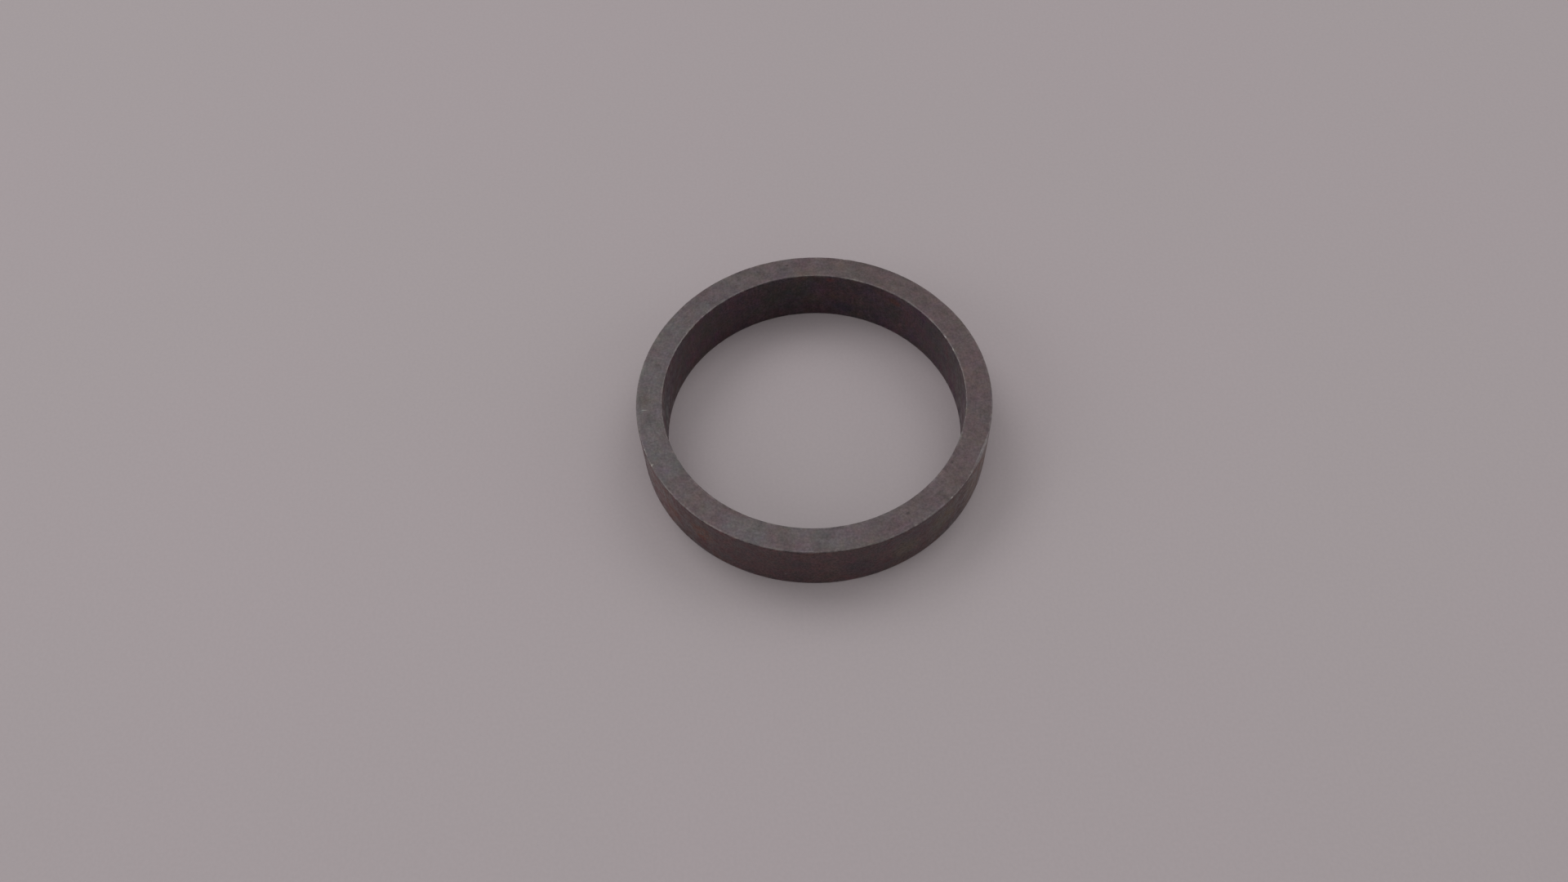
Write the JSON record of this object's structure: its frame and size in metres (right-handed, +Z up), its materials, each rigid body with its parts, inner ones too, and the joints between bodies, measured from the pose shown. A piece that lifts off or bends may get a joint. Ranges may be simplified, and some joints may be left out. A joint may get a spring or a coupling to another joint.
{
  "type": "spacer washer",
  "caption": "Thick plain ring washer of dull oxidised steel with a straight through bore and flat parallel faces, which spaces or seats parts along a shaft.",
  "frame": {"origin": "centre of the ring's bottom face, on the axis of the bore", "axes": "+Z up the axis of the bore, from the bottom face to the top face; the ring is round, so +X and +Y are any two directions square to it"},
  "size_m": [0.054, 0.054, 0.0098],
  "materials": {
    "oxidised_steel": "matte"
  },
  "bodies": {
    "root": {"washer_ring": "oxidised_steel"}
  },
  "joints": []
}
